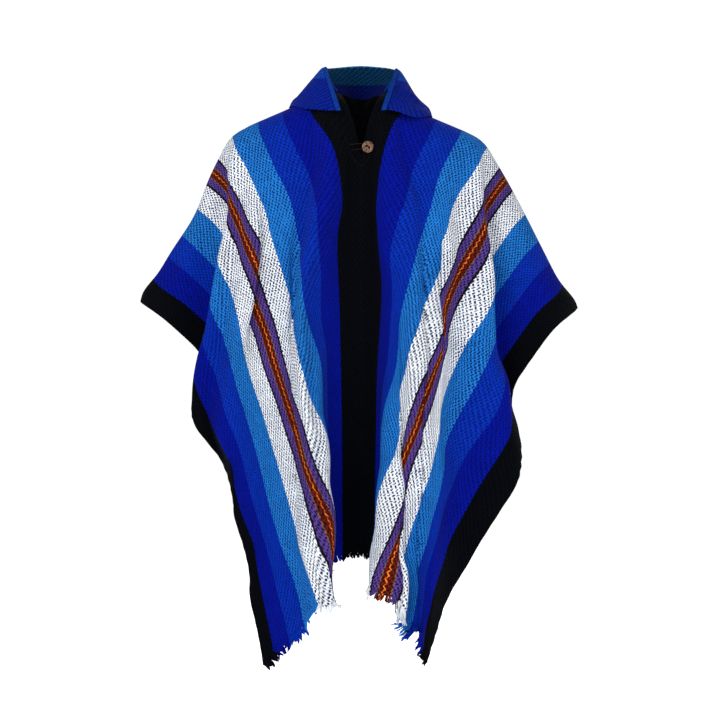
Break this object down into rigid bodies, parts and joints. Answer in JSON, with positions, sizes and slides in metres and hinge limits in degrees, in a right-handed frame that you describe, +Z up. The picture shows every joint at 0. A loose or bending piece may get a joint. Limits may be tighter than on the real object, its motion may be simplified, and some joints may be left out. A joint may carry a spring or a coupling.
{
  "type": "poncho",
  "caption": "Closed-front woven poncho with turn-down collar, button and loop, and frayed hems, hanging as worn over the shoulders.",
  "frame": {"origin": "middle of the neck at shoulder height, where the wearer's shoulders hold the garment up", "axes": "+Z up, the front faces -Y, the wearer's left is +X"},
  "size_m": [0.7915, 0.565, 1.0949],
  "materials": {
    "striped_wool": "matt",
    "collar_wool": "matt",
    "frayed_wool": "matt",
    "shell": "satin",
    "brown_cord": "matt"
  },
  "bodies": {
    "root": {"panel_right": "striped_wool", "panel_left": "striped_wool", "fringe_front_right": "frayed_wool", "fringe_back_right": "frayed_wool", "fringe_front_left": "frayed_wool", "fringe_back_left": "frayed_wool", "collar": "collar_wool", "button": "shell", "button_loop": "brown_cord"}
  },
  "joints": []
}
